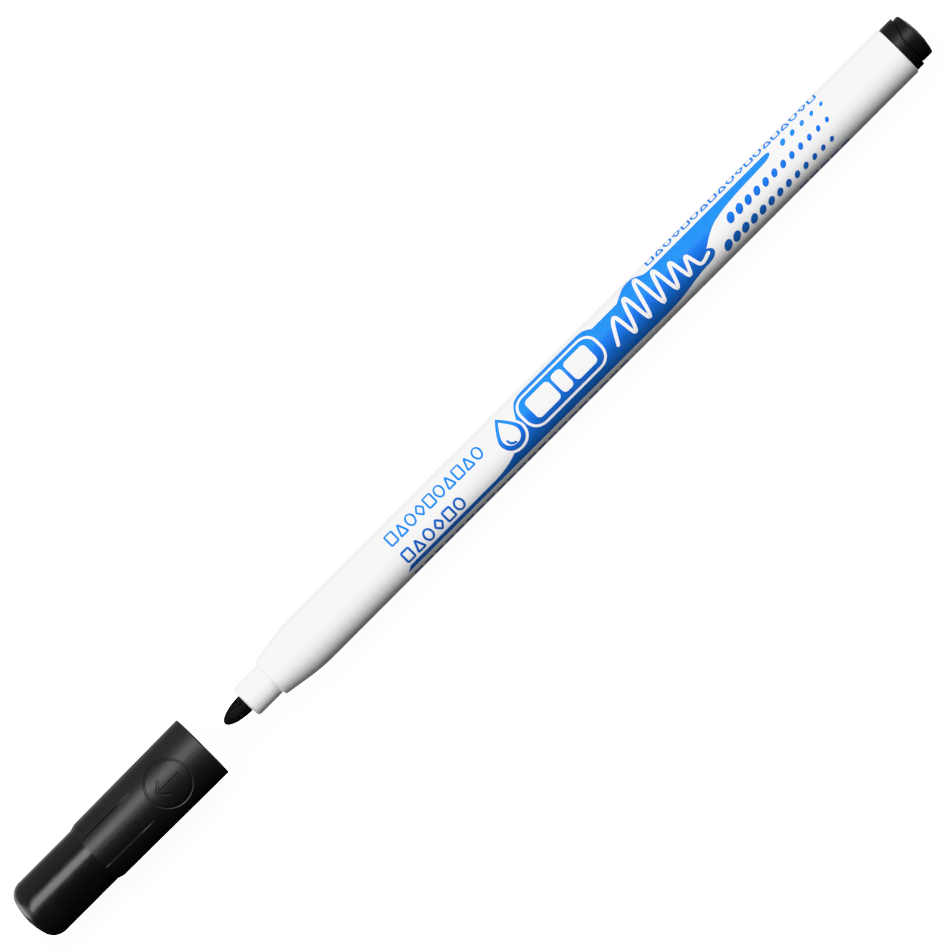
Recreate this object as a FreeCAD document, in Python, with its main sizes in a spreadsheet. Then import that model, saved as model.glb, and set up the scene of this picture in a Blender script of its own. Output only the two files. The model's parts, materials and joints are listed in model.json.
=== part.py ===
"""Slim whiteboard marker with its cap pulled off, as a parametric FreeCAD document.

The marker lies along X: the cap is at -X, the end plug at +X and +Z is up. The origin is on the surface
that the marker lies on, under the middle of the whole assembly. All sizes are in millimetres.

Each barrel-side piece is drawn from the collar's front face (x = 0, the axis at z = 0), the end plug from
the barrel's rear face, and each cap-side piece from the cap's mouth. Placements put them on one axis.
"""

import FreeCAD, Part
import math
import os

import Sketcher

DIMENSIONS = {
    # barrel, from the collar's front face
    "barrel_length": 139.78,
    "barrel_radius": 4.5,
    "collar_radius": 2.86,
    "collar_length": 5.2,
    "collar_round": 0.65,
    "shoulder_radius": 3.5,
    "shoulder_round": 0.5,
    "cone_length": 4.85,
    "cone_end_radius": 4.19,
    "taper_length": 9.25,
    "taper_arc_radius": 31.0,
    "rear_round": 0.2,
    "bore_radius": 3.55,
    "bore_start": 14.4,
    "nib_seat_length": 9.0,
    "nib_seat_mouth_radius": 1.9,
    "vent_width": 0.5,
    "vent_depth": 0.3,
    "rib_width": 0.5,
    "rib_start": 15.0,
    "rib_end": 128.0,
    "rib_sink": 0.2,
    # nib and reservoir
    "nib_radius": 1.55,
    "nib_reach": 4.49,
    "nib_tail_radius": 0.9,
    "nib_tail_length": 7.0,
    "nib_seat_clearance": 0.02,
    "reservoir_start": 15.0,
    "reservoir_length": 111.0,
    "reservoir_radius": 3.04,
    "film_thickness": 0.08,
    "rib_clearance": 0.03,
    # end plug, from the barrel's rear face
    "plug_reach": 4.17,
    "plug_dome": 0.57,
    "plug_edge_round": 0.4,
    "stub_radius": 3.88,
    "flange_radius": 4.26,
    "flange_low": 1.44,
    "flange_high": 2.7,
    "ramp_start": 0.2,
    "ramp_bend_end": 0.9,
    "ramp_slope": 0.335,
    "ramp_bend_radius": 2.2,
    "spigot_length": 9.0,
    "spigot_lead": 0.35,
    "spigot_wall": 0.9,
    "spigot_relief": 0.05,
    "bead_start": 2.4,
    "bead_length": 1.6,
    "plug_floor": 2.6,
    "finger_slot_width": 1.2,
    "finger_slot_length": 4.2,
    # cap, from its mouth
    "cap_length": 37.5,
    "cap_mouth_radius": 5.63,
    "cap_mouth_round": 0.2,
    "cap_step_radius": 5.46,
    "cap_step": 22.25,
    "cap_step_ramp": 1.05,
    "cap_tip_radius": 5.14,
    "cap_dome": 1.33,
    "cap_dome_round": 2.7,
    "cap_bore_radius": 4.72,
    "cap_lead": 0.6,
    "cap_lead_depth": 0.15,
    "cap_tip_bore_radius": 4.25,
    "cap_end_wall": 1.9,
    "cap_gap": 4.675,
    "cap_cover": 30.24,
    "grip_width": 0.6,
    "grip_clearance": 0.06,
    "grip_start": 1.5,
    "grip_end": 20.0,
    "panel_start": 13.0,
    "panel_run": 3.0,
    "panel_depth": 0.25,
    "panel_floor_end": 5.19,
    "panel_angle": 62.0,
    "emblem_centre": 7.67,
    "emblem_shift": 0.3,
    "emblem_radius": 3.68,
    "emblem_width": 0.28,
    "emblem_floor_radius": 5.42,
    # inner seal of the cap
    "seal_wall": 0.6,
    "seal_clearance": 0.05,
    "seal_gap": 0.3,
    "seal_base": 0.5,
    "seal_lead": 0.5,
    "seal_lead_depth": 0.2,
}
RIB_COUNT = 6
VENT_COUNT = 4
FINGER_COUNT = 4
PANEL_COUNT = 2
PAST = 1.0  # how far a cutting outline runs past the face that it opens
SHEET = "Dimensions"


class Size:
    """A length that knows both its value and the spreadsheet expression that gives it."""

    def __init__(self, value, text):
        self.value = value
        self.text = text

    @staticmethod
    def of(number):
        return number if isinstance(number, Size) else Size(float(number), repr(float(number)))

    def _join(self, other, sign, value):
        return Size(value, f"({self.text} {sign} {Size.of(other).text})")

    def __add__(self, other):
        return self._join(other, "+", self.value + Size.of(other).value)

    def __sub__(self, other):
        return self._join(other, "-", self.value - Size.of(other).value)

    def __mul__(self, other):
        return self._join(other, "*", self.value * Size.of(other).value)

    def __truediv__(self, other):
        return self._join(other, "/", self.value / Size.of(other).value)

    def __neg__(self):
        return Size(-self.value, f"(0 - {self.text})")


class Sizes:
    """Every driving dimension, each as a Size attribute."""

    def __init__(self, sheet, values):
        for row, (name, value) in enumerate(values.items(), start=1):
            sheet.set(f"A{row}", name)
            sheet.set(f"B{row}", str(value))
            sheet.setAlias(f"B{row}", name)
            setattr(self, name, Size(float(value), f"{SHEET}.{name}"))


doc = FreeCAD.newDocument("whiteboard_marker")
sheet = doc.addObject("Spreadsheet::Sheet", SHEET)
D = Sizes(sheet, DIMENSIONS)
doc.recompute()


# ---------------------------------------------------------------- drawing helpers


def bind(obj, path, size):
    """Sets a property and binds it to the spreadsheet."""
    obj.setExpression(path, Size.of(size).text)


def new_body(name):
    body = doc.addObject("PartDesign::Body", name)
    body.Label = name
    return body


def new_sketch(body, name, plane, offset=None):
    """A sketch on one of its body's origin planes, moved along the plane's normal by offset."""
    sketch = body.newObject("Sketcher::SketchObject", name)
    support = next(f for f in body.Origin.OriginFeatures if f.Role == plane)
    sketch.AttachmentSupport = [(support, "")]
    sketch.MapMode = "FlatFace"
    if offset is not None:
        bind(sketch, "AttachmentOffset.Base.z", offset)
    return sketch


def arc_between(start, end, radius, turn):
    """The short arc from start to end: turn is 1 to go round anticlockwise, -1 clockwise."""
    chord = end - start
    half = chord.Length / 2
    left = FreeCAD.Vector(-chord.y, chord.x, 0).normalize()
    centre = (start + end) / 2 + left * (turn * math.sqrt(radius * radius - half * half))
    first, last = (start, end) if turn > 0 else (end, start)
    angles = [math.atan2(p.y - centre.y, p.x - centre.x) for p in (first, last)]
    circle = Part.Circle(centre, FreeCAD.Vector(0, 0, 1), radius)
    return Part.ArcOfCircle(circle, angles[0], angles[1])


def draw_outline(sketch, corners):
    """A closed outline through corners. A corner is (x, y), or (x, y, radius, turn) where an arc leads to it."""
    points = [FreeCAD.Vector(Size.of(c[0]).value, Size.of(c[1]).value, 0) for c in corners]
    ends = []  # for each edge, which of its ends is its start and which its end
    for i, corner in enumerate(corners):
        start, end = points[i - 1], points[i]
        if len(corner) == 2:
            edge = sketch.addGeometry(Part.LineSegment(start, end))
            ends.append((edge, 1, 2))
            continue
        radius, turn = Size.of(corner[2]), corner[3]
        edge = sketch.addGeometry(arc_between(start, end, radius.value, turn))
        ends.append((edge, 1, 2) if turn > 0 else (edge, 2, 1))
        index = sketch.addConstraint(Sketcher.Constraint("Radius", edge, radius.value))
        sketch.setExpression(f"Constraints[{index}]", radius.text)
    for i, (edge, _, end) in enumerate(ends):
        following, start, _ = ends[(i + 1) % len(ends)]
        sketch.addConstraint(Sketcher.Constraint("Coincident", edge, end, following, start))
    for (edge, _, end), corner in zip(ends, corners):
        for kind, axis, value in (("DistanceX", -2, corner[0]), ("DistanceY", -1, corner[1])):
            if not isinstance(value, Size) and value == 0:
                sketch.addConstraint(Sketcher.Constraint("PointOnObject", edge, end, axis))
                continue
            size = Size.of(value)
            index = sketch.addConstraint(Sketcher.Constraint(kind, -1, 1, edge, end, size.value))
            sketch.setExpression(f"Constraints[{index}]", size.text)


def turned(body, kind, name, corners, plane="XY_Plane"):
    """A Revolution or Groove of an outline drawn as (x, radius) about the body's X axis."""
    sketch = new_sketch(body, name + "_outline", plane)
    draw_outline(sketch, corners)
    feature = body.newObject(f"PartDesign::{kind}", name)
    feature.Profile = sketch
    feature.ReferenceAxis = (sketch, ["H_Axis"])
    feature.Angle = 360.0
    return feature


def box_outline(width, low, high):
    """A rectangle across Y, width wide and from low to high in Z, for a sketch on the YZ plane."""
    half = width / 2
    return [(-half, low), (half, low), (half, high), (-half, high)]


def ring_of(body, feature, name, count):
    """Repeats a feature evenly about the body's X axis."""
    pattern = body.newObject("PartDesign::PolarPattern", name)
    pattern.Originals = [feature]
    x_axis = next(f for f in body.Origin.OriginFeatures if f.Role == "X_Axis")
    pattern.Axis = (x_axis, [""])
    pattern.Angle = 360.0
    pattern.Occurrences = count
    body.Tip = pattern
    return pattern


def pad_ring(body, name, outline, start, length, count):
    """Ribs that run along X: an outline in the YZ plane, padded from start and repeated about X."""
    sketch = new_sketch(body, name + "_outline", "YZ_Plane", start)
    draw_outline(sketch, outline)
    pad = body.newObject("PartDesign::Pad", name)
    pad.Profile = sketch
    bind(pad, "Length", length)
    return ring_of(body, pad, name + "_ring", count)


def pocket_ring(body, name, outline, start, length, count):
    """Slots that run along +X from start, repeated about X."""
    sketch = new_sketch(body, name + "_outline", "YZ_Plane", start)
    draw_outline(sketch, outline)
    pocket = body.newObject("PartDesign::Pocket", name)
    pocket.Profile = sketch
    pocket.Reversed = True
    bind(pocket, "Length", length)
    return ring_of(body, pocket, name + "_ring", count)


def round_edges(body, name, base, x, radius_of_edge, radius):
    """Rounds the circular edges of base that lie at x with the given radius."""
    doc.recompute()
    picked = []
    for i, edge in enumerate(base.Shape.Edges, start=1):
        if edge.Degenerated or not isinstance(edge.Curve, Part.Circle):
            continue
        same_x = abs(edge.Curve.Center.x - Size.of(x).value) < 1e-3
        same_radius = abs(edge.Curve.Radius - Size.of(radius_of_edge).value) < 1e-3
        if same_x and same_radius:
            picked.append(f"Edge{i}")
    if not picked:
        raise RuntimeError(f"{name}: no edge found at x {Size.of(x).value:.3f}")
    fillet = body.newObject("PartDesign::Fillet", name)
    fillet.Base = (base, picked)
    bind(fillet, "Radius", radius)
    return fillet


def dome_radius(height, edge_radius):
    """Radius of the sphere whose cap is height high over a circle of edge_radius."""
    return (edge_radius * edge_radius + height * height) / (height * 2)


def place(obj, x, z, y=0):
    bind(obj, "Placement.Base.x", x)
    bind(obj, "Placement.Base.y", y)
    bind(obj, "Placement.Base.z", z)


# ---------------------------------------------------------------- where the pieces sit

axis_height = D.cap_mouth_radius
barrel_x = (D.nib_reach + D.cap_gap + D.cap_length - D.barrel_length - D.plug_reach) / 2
plug_x = barrel_x + D.barrel_length
cap_x = barrel_x - D.nib_reach - D.cap_gap
nib_seat_radius = D.nib_radius + D.nib_seat_clearance
rib_inner_radius = D.reservoir_radius + D.film_thickness + D.rib_clearance


# ---------------------------------------------------------------- barrel


def make_barrel():
    """White moulding: collar, shoulder, long taper and tube in one piece, with ribs that centre the reservoir."""
    body = new_body("barrel")
    collar_end = D.collar_length
    turned(
        body,
        "Revolution",
        "barrel_blank",
        [
            (0, 0),
            (0, D.collar_radius - D.collar_round),
            (D.collar_round, D.collar_radius, D.collar_round, -1),
            (collar_end, D.collar_radius),
            (collar_end, D.shoulder_radius - D.shoulder_round),
            (collar_end + D.shoulder_round, D.shoulder_radius, D.shoulder_round, -1),
            (collar_end + D.cone_length, D.cone_end_radius),
            (collar_end + D.taper_length, D.barrel_radius, D.taper_arc_radius, -1),
            (D.barrel_length - D.rear_round, D.barrel_radius),
            (D.barrel_length, D.barrel_radius - D.rear_round, D.rear_round, -1),
            (D.barrel_length, 0),
        ],
    )
    turned(
        body,
        "Groove",
        "barrel_bore",
        [
            (-PAST, 0),
            (-PAST, nib_seat_radius),
            (D.nib_seat_length, nib_seat_radius),
            (D.nib_seat_length, D.nib_seat_mouth_radius),
            (D.bore_start, D.bore_radius),
            (D.barrel_length + PAST, D.bore_radius),
            (D.barrel_length + PAST, 0),
        ],
    )
    vent = box_outline(D.vent_width, nib_seat_radius - D.vent_depth, nib_seat_radius + D.vent_depth)
    pocket_ring(body, "nib_vent", vent, Size.of(-PAST), D.nib_seat_length + 2 * PAST, VENT_COUNT)
    rib = box_outline(D.rib_width, rib_inner_radius, D.bore_radius + D.rib_sink)
    pad_ring(body, "reservoir_rib", rib, D.rib_start, D.rib_end - D.rib_start, RIB_COUNT)
    place(body, barrel_x, axis_height)
    return body


# ---------------------------------------------------------------- nib


def make_nib():
    """Bullet-pointed fibre rod: half an ellipsoid, a rod through the collar and a tapered tail."""
    point = doc.addObject("Part::Ellipsoid", "nib_point")
    bind(point, "Radius1", D.nib_reach)
    bind(point, "Radius2", D.nib_radius)
    point.Angle1 = 0.0
    rod = doc.addObject("Part::Cylinder", "nib_rod")
    bind(rod, "Radius", D.nib_radius)
    bind(rod, "Height", D.reservoir_start)
    bind(rod, "Placement.Base.z", -D.reservoir_start)
    tail = doc.addObject("Part::Cone", "nib_tail")
    bind(tail, "Radius1", D.nib_tail_radius)
    bind(tail, "Radius2", D.nib_radius)
    bind(tail, "Height", D.nib_tail_length)
    bind(tail, "Placement.Base.z", -(D.reservoir_start + D.nib_tail_length))
    nib = doc.addObject("Part::MultiFuse", "nib")
    nib.Label = "nib"
    nib.Shapes = [point, rod, tail]
    nib.Placement.Rotation = FreeCAD.Rotation(FreeCAD.Vector(0, 1, 0), -90)
    place(nib, barrel_x, axis_height)
    return nib


# ---------------------------------------------------------------- reservoir


def make_reservoir_core():
    """Fibre rod that holds the ink, pierced at the front by the nib's tail."""
    body = new_body("reservoir_core")
    start, end = D.reservoir_start, D.reservoir_start + D.reservoir_length
    hole_end = start + D.nib_tail_length + D.nib_seat_clearance
    turned(
        body,
        "Revolution",
        "core",
        [
            (hole_end, 0),
            (hole_end, D.nib_tail_radius + D.nib_seat_clearance),
            (start, nib_seat_radius),
            (start, D.reservoir_radius),
            (end, D.reservoir_radius),
            (end, 0),
        ],
    )
    place(body, barrel_x, axis_height)
    return body


def make_reservoir_film():
    """Thin film sleeve rolled round the fibre core."""
    body = new_body("reservoir_film")
    start, end = D.reservoir_start, D.reservoir_start + D.reservoir_length
    outer = D.reservoir_radius + D.film_thickness
    outline = [(start, D.reservoir_radius), (start, outer), (end, outer), (end, D.reservoir_radius)]
    turned(body, "Revolution", "film", outline)
    place(body, barrel_x, axis_height)
    return body


# ---------------------------------------------------------------- end plug


def make_end_plug():
    """Black plug: a hollow spigot with a sealing bead, a flange whose outer face ramps up on one side, and a stub."""
    body = new_body("end_plug")
    spigot = D.bore_radius - D.spigot_relief
    bead_end = D.bead_start + D.bead_length
    turned(
        body,
        "Revolution",
        "spigot_and_flange",
        [
            (-D.spigot_length, 0),
            (-D.spigot_length, spigot - D.spigot_lead),
            (-D.spigot_length + D.spigot_lead, spigot),
            (-bead_end, spigot),
            (-bead_end + D.spigot_relief, D.bore_radius),
            (-D.bead_start - D.spigot_relief, D.bore_radius),
            (-D.bead_start, spigot),
            (0, spigot),
            (0, D.flange_radius),
            (D.flange_high, D.flange_radius),
            (D.flange_high, 0),
        ],
    )
    ramp = new_sketch(body, "flange_ramp_outline", "XY_Plane")
    side = D.flange_radius + PAST
    bend_end_x = D.flange_low + (D.ramp_bend_end - D.ramp_start) * D.ramp_slope / 2
    side_x = bend_end_x + (side - D.ramp_bend_end) * D.ramp_slope
    draw_outline(
        ramp,
        [
            (D.flange_low, -side),
            (D.flange_high + PAST, -side),
            (D.flange_high + PAST, side),
            (side_x, side),
            (bend_end_x, D.ramp_bend_end),
            (D.flange_low, D.ramp_start, D.ramp_bend_radius, 1),
        ],
    )
    cut = body.newObject("PartDesign::Pocket", "flange_ramp")
    cut.Profile = ramp
    cut.Type = "ThroughAll"
    cut.Midplane = True
    stub_x = D.plug_reach - D.plug_dome
    stub = turned(
        body,
        "Revolution",
        "stub",
        [
            (-D.flange_low, 0),
            (-D.flange_low, spigot - D.spigot_wall / 2),
            (D.flange_low / 2, spigot - D.spigot_wall / 2),
            (D.flange_low / 2, D.stub_radius),
            (stub_x, D.stub_radius),
            (D.plug_reach, 0, dome_radius(D.plug_dome, D.stub_radius), -1),
        ],
    )
    round_edges(body, "stub_round", stub, stub_x, D.stub_radius, D.plug_edge_round)
    inner = spigot - D.spigot_wall
    turned(
        body,
        "Groove",
        "plug_hollow",
        [
            (-D.spigot_length - PAST, 0),
            (-D.spigot_length - PAST, inner),
            (D.plug_floor - D.spigot_wall, inner),
            (D.plug_floor, inner - D.spigot_wall),
            (D.plug_floor, 0),
        ],
    )
    slot = box_outline(D.finger_slot_width, inner - D.spigot_wall / 2, D.bore_radius + PAST)
    slot_start = -D.spigot_length - PAST
    pocket_ring(body, "finger_slot", slot, slot_start, D.finger_slot_length + PAST, FINGER_COUNT)
    place(body, plug_x, axis_height)
    return body


# ---------------------------------------------------------------- cap


def surface_radius(distance):
    """Outer radius of the cap's wide part, at a distance from the mouth."""
    return D.cap_mouth_radius - (D.cap_mouth_radius - D.cap_step_radius) * distance / D.cap_step


def make_cap_body():
    """Black cap: a wide part that grips the barrel, a narrower domed tip, and two recessed panels."""
    body = new_body("cap_body")
    tip_end = D.cap_step + D.cap_step_ramp
    dome_edge = -(D.cap_length - D.cap_dome)
    blank = turned(
        body,
        "Revolution",
        "cap_blank",
        [
            (-D.cap_length, 0),
            (dome_edge, D.cap_tip_radius, dome_radius(D.cap_dome, D.cap_tip_radius), -1),
            (-tip_end, D.cap_tip_radius),
            (-D.cap_step, D.cap_step_radius),
            (-D.cap_mouth_round, D.cap_mouth_radius),
            (0, D.cap_mouth_radius - D.cap_mouth_round, D.cap_mouth_round, -1),
            (0, 0),
        ],
    )
    round_edges(body, "cap_tip_round", blank, dome_edge, D.cap_tip_radius, D.cap_dome_round)
    floor = -(D.cap_length - D.cap_end_wall)
    turned(
        body,
        "Groove",
        "cap_bore",
        [
            (PAST, 0),
            (PAST, D.cap_bore_radius + D.cap_lead_depth),
            (0, D.cap_bore_radius + D.cap_lead_depth),
            (-D.cap_lead, D.cap_bore_radius),
            (-(D.cap_step - D.cap_lead), D.cap_bore_radius),
            (-tip_end, D.cap_tip_bore_radius),
            (floor, D.cap_tip_bore_radius),
            (floor, 0),
        ],
    )
    panel_end = tip_end + D.cap_lead
    run_end = D.panel_start + D.panel_run
    panel = turned(
        body,
        "Groove",
        "panel",
        [
            (-panel_end, D.panel_floor_end),
            (-run_end, surface_radius(run_end) - D.panel_depth),
            (-D.panel_start, surface_radius(D.panel_start)),
            (-D.panel_start, D.cap_mouth_radius + PAST),
            (-panel_end, D.cap_mouth_radius + PAST),
        ],
        plane="XZ_Plane",
    )
    panel.Midplane = True
    bind(panel, "Angle", D.panel_angle)
    ring_of(body, panel, "panel_ring", PANEL_COUNT)
    grip = box_outline(D.grip_width, D.barrel_radius + D.grip_clearance, D.cap_bore_radius + D.cap_lead_depth)
    pad_ring(body, "grip_rib", grip, -D.grip_end, D.grip_end - D.grip_start, RIB_COUNT)
    place(body, cap_x, axis_height)
    return body


def make_emblem_cutter():
    """A circle seen from above, sunk a little way into the cap's round side."""
    prisms = []
    for name, side in (("emblem_outer", 1), ("emblem_inner", -1)):
        prism = doc.addObject("Part::Cylinder", name)
        bind(prism, "Radius", D.emblem_radius + D.emblem_width * (side / 2))
        bind(prism, "Height", D.cap_mouth_radius + PAST)
        place(prism, cap_x - D.emblem_centre, axis_height, -D.emblem_shift)
        prisms.append(prism)
    ring = doc.addObject("Part::Cut", "emblem_ring")
    ring.Base, ring.Tool = prisms
    floor = doc.addObject("Part::Cylinder", "emblem_floor")
    bind(floor, "Radius", D.emblem_floor_radius)
    bind(floor, "Height", D.cap_step)
    floor.Placement.Rotation = FreeCAD.Rotation(FreeCAD.Vector(0, 1, 0), 90)
    place(floor, cap_x - D.cap_step, axis_height)
    cutter = doc.addObject("Part::Cut", "emblem_cutter")
    cutter.Base = ring
    cutter.Tool = floor
    return cutter


def make_cap_shell():
    cap = doc.addObject("Part::Cut", "cap_shell")
    cap.Label = "cap_shell"
    cap.Base = make_cap_body()
    cap.Tool = make_emblem_cutter()
    return cap


def make_cap_inner_seal():
    """Soft cup on the cap's floor: its sleeve closes round the collar when the cap is on."""
    body = new_body("cap_inner_seal")
    inner = D.collar_radius + D.seal_clearance
    outer = inner + D.seal_wall
    back = -(D.cap_length - D.cap_end_wall)
    mouth = -(D.cap_cover - D.collar_length + D.seal_gap)
    turned(
        body,
        "Revolution",
        "seal",
        [
            (back, 0),
            (back, D.cap_tip_bore_radius),
            (back + D.seal_base, D.cap_tip_bore_radius),
            (back + D.seal_base, outer),
            (mouth, outer),
            (mouth, inner + D.seal_lead_depth),
            (mouth - D.seal_lead, inner),
            (back + D.seal_base, inner),
            (back + D.seal_base, 0),
        ],
    )
    place(body, cap_x, axis_height)
    return body


# ---------------------------------------------------------------- build, check and write

subparts = [
    make_barrel(),
    make_nib(),
    make_reservoir_core(),
    make_reservoir_film(),
    make_end_plug(),
    make_cap_shell(),
    make_cap_inner_seal(),
]
doc.recompute()

for obj in doc.Objects:
    if "Invalid" in obj.State or "Error" in obj.State:
        raise RuntimeError(f"{obj.Name} failed: {obj.State}")

os.makedirs("parts", exist_ok=True)
for part in subparts:
    shape = part.Shape
    if shape.isNull() or not shape.isValid() or not shape.Solids:
        raise RuntimeError(f"{part.Label} has no valid solid")
    shape.exportStep(f"parts/{part.Label}.step")
    box = shape.BoundBox
    print(
        f"{part.Label}: {len(shape.Solids)} solid, {shape.Volume:.2f} mm3,"
        f" x {box.XMin:.3f} to {box.XMax:.3f}, z {box.ZMin:.3f} to {box.ZMax:.3f}"
    )
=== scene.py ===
"""The whiteboard marker's visual model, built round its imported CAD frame.

The marker lies along X with its cap pulled off towards -X. Lengths in this script are millimetres, and MM
turns them into Blender's metres. Each turned piece is given as (x, radius) points from a datum on the axis.
The print is laid out flat as (x, around): x from the collar's front face, and around from the top line of
the barrel, positive towards -Y, then wrapped on the barrel.
"""

import json
import math

import bmesh
import bpy
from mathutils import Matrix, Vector
from mathutils.geometry import tessellate_polygon


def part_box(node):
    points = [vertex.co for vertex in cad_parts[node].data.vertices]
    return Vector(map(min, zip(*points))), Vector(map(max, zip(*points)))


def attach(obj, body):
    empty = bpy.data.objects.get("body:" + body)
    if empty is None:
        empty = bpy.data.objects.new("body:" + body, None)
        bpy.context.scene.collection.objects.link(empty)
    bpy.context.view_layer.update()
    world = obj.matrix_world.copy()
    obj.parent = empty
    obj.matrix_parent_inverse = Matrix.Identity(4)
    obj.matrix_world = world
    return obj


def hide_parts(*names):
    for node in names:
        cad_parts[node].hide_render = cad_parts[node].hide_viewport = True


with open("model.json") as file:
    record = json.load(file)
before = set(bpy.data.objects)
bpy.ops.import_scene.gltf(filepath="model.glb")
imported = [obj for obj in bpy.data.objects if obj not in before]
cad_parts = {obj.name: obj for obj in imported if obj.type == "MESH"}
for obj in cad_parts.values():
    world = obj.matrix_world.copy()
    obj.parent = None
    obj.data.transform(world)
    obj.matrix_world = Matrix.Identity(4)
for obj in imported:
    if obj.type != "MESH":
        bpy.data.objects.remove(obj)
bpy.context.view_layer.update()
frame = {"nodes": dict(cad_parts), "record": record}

MM = 0.001
TOP = 90.0  # angle of the marker's top line, counted from +Y over +Z
SHARP = 32.0  # faces that meet at more than this many degrees keep a sharp edge
WELD = 1e-7  # metres between points that a cut leaves double

barrel_low, barrel_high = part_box("barrel")
cap_low, cap_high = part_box("cap_shell")
COLLAR_X = barrel_low.x
REAR_X = barrel_high.x
MOUTH_X = cap_high.x
AXIS_Z = (barrel_low.z + barrel_high.z) / 2
grip = frame["record"]["mounts"][0]
BARREL_R = grip["dims"]["r_mm"]
BARREL_LENGTH = (REAR_X - COLLAR_X) / MM
CAP_LENGTH = (cap_high.x - cap_low.x) / MM
NIB_REACH = (COLLAR_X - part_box("nib")[0].x) / MM
PLUG_REACH = (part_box("end_plug")[1].x - REAR_X) / MM

# ---------------------------------------------------------------- turned shapes


def on_axis(datum, x, r, angle):
    """The point x and r millimetres along and out from the axis, at an angle in degrees."""
    a = math.radians(angle)
    return Vector((datum + x * MM, r * MM * math.cos(a), AXIS_Z + r * MM * math.sin(a)))


def columns(step, *edges):
    """Angles round the axis, every step degrees, with each edge added and its near neighbours left out."""
    regular = [i * step for i in range(round(360 / step))]
    near = step * 0.3
    kept = [a for a in regular if all(abs((a - e + 180) % 360 - 180) > near for e in edges)]
    return sorted(kept + [e % 360 for e in edges])


def arc(x, r, radius, start, end, steps=6):
    """Points of an arc about (x, r) from start to end degrees, where 0 is along +X and 90 is outward."""
    angles = [math.radians(start + (end - start) * i / steps) for i in range(steps + 1)]
    return [(x + radius * math.cos(a), r + radius * math.sin(a)) for a in angles]


def domed_end(tip_x, outward, edge_r, height, round_r, steps=14):
    """From the axis at tip_x over a spherical dome and round its edge to the radius edge_r."""
    dome = (edge_r**2 + height**2) / (2 * height)
    centre_x = tip_x - outward * dome
    round_x = centre_x + outward * math.sqrt((dome - round_r) ** 2 - (edge_r - round_r) ** 2)
    meet = math.asin((edge_r - round_r) / (dome - round_r))
    points = [(tip_x, 0.0)]
    for i in range(1, steps):
        a = meet * i / steps
        points.append((centre_x + outward * dome * math.cos(a), dome * math.sin(a)))
    for i in range(steps + 1):
        a = meet + (math.pi / 2 - meet) * i / steps
        points.append((round_x + outward * round_r * math.cos(a), edge_r - round_r + round_r * math.sin(a)))
    return points


def spaced(start, end, count):
    """Points on the straight line between two points, without its ends."""
    steps = [i / (count + 1) for i in range(1, count + 1)]
    return [(start[0] + (end[0] - start[0]) * t, start[1] + (end[1] - start[1]) * t) for t in steps]


def smooth_faces(bm):
    """Shades a bmesh smooth except where two faces meet at more than SHARP degrees."""
    limit = math.radians(SHARP)
    for face in bm.faces:
        face.smooth = True
    for edge in bm.edges:
        edge.smooth = len(edge.link_faces) == 2 and edge.calc_face_angle(0.0) < limit


def new_piece(name, bm):
    """An object from a bmesh, which is used up."""
    bmesh.ops.recalc_face_normals(bm, faces=bm.faces)
    smooth_faces(bm)
    mesh = bpy.data.meshes.new(name)
    bm.to_mesh(mesh)
    bm.free()
    piece = bpy.data.objects.new(name, mesh)
    bpy.context.scene.collection.objects.link(piece)
    return piece


def turned(name, datum, profile, angles, shape=None, closed=False):
    """A solid turned about the axis.

    shape(x, r, angle) may move a point, and closed joins the last ring to the first.
    """
    bm = bmesh.new()
    rings = []
    for x, r in profile:
        if r == 0:
            rings.append([bm.verts.new(on_axis(datum, x, 0, 0))])
            continue
        moved = [shape(x, r, a) if shape else (x, r) for a in angles]
        rings.append([bm.verts.new(on_axis(datum, mx, mr, a)) for (mx, mr), a in zip(moved, angles)])
    pairs = list(zip(rings, rings[1:])) + ([(rings[-1], rings[0])] if closed else [])
    for one, two in pairs:
        for i in range(len(angles)):
            j = (i + 1) % len(angles)
            corners = [one[i % len(one)], one[j % len(one)], two[j % len(two)], two[i % len(two)]]
            bm.faces.new(list(dict.fromkeys(corners)))
    return new_piece(name, bm)


def from_nearest(angle, count, offset=0.0):
    """Degrees from the nearest of count directions evenly spread round the axis."""
    pitch = 360 / count
    return abs((angle - offset + pitch / 2) % pitch - pitch / 2)


def sides(count, half, offset=0.0):
    """The two edges of each of count features that are half wide on either side, as angles."""
    return [offset + i * 360 / count + s * half for i in range(count) for s in (-1, 1)]


def carve(piece, cutters):
    """Cuts closed meshes out of a piece and removes them."""
    for cutter in cutters:
        cut = piece.modifiers.new("cut", "BOOLEAN")
        cut.operation = "DIFFERENCE"
        cut.solver = "EXACT"
        cut.object = cutter
    graph = bpy.context.evaluated_depsgraph_get()
    mesh = bpy.data.meshes.new_from_object(piece.evaluated_get(graph))
    piece.modifiers.clear()
    piece.data = mesh
    for cutter in cutters:
        bpy.data.objects.remove(cutter)
    bm = bmesh.new()
    bm.from_mesh(mesh)
    bmesh.ops.remove_doubles(bm, verts=bm.verts, dist=WELD)
    smooth_faces(bm)
    bm.to_mesh(mesh)
    bm.free()
    even = piece.modifiers.new("even_normals", "WEIGHTED_NORMAL")
    even.keep_sharp = True


# ---------------------------------------------------------------- materials


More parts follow.
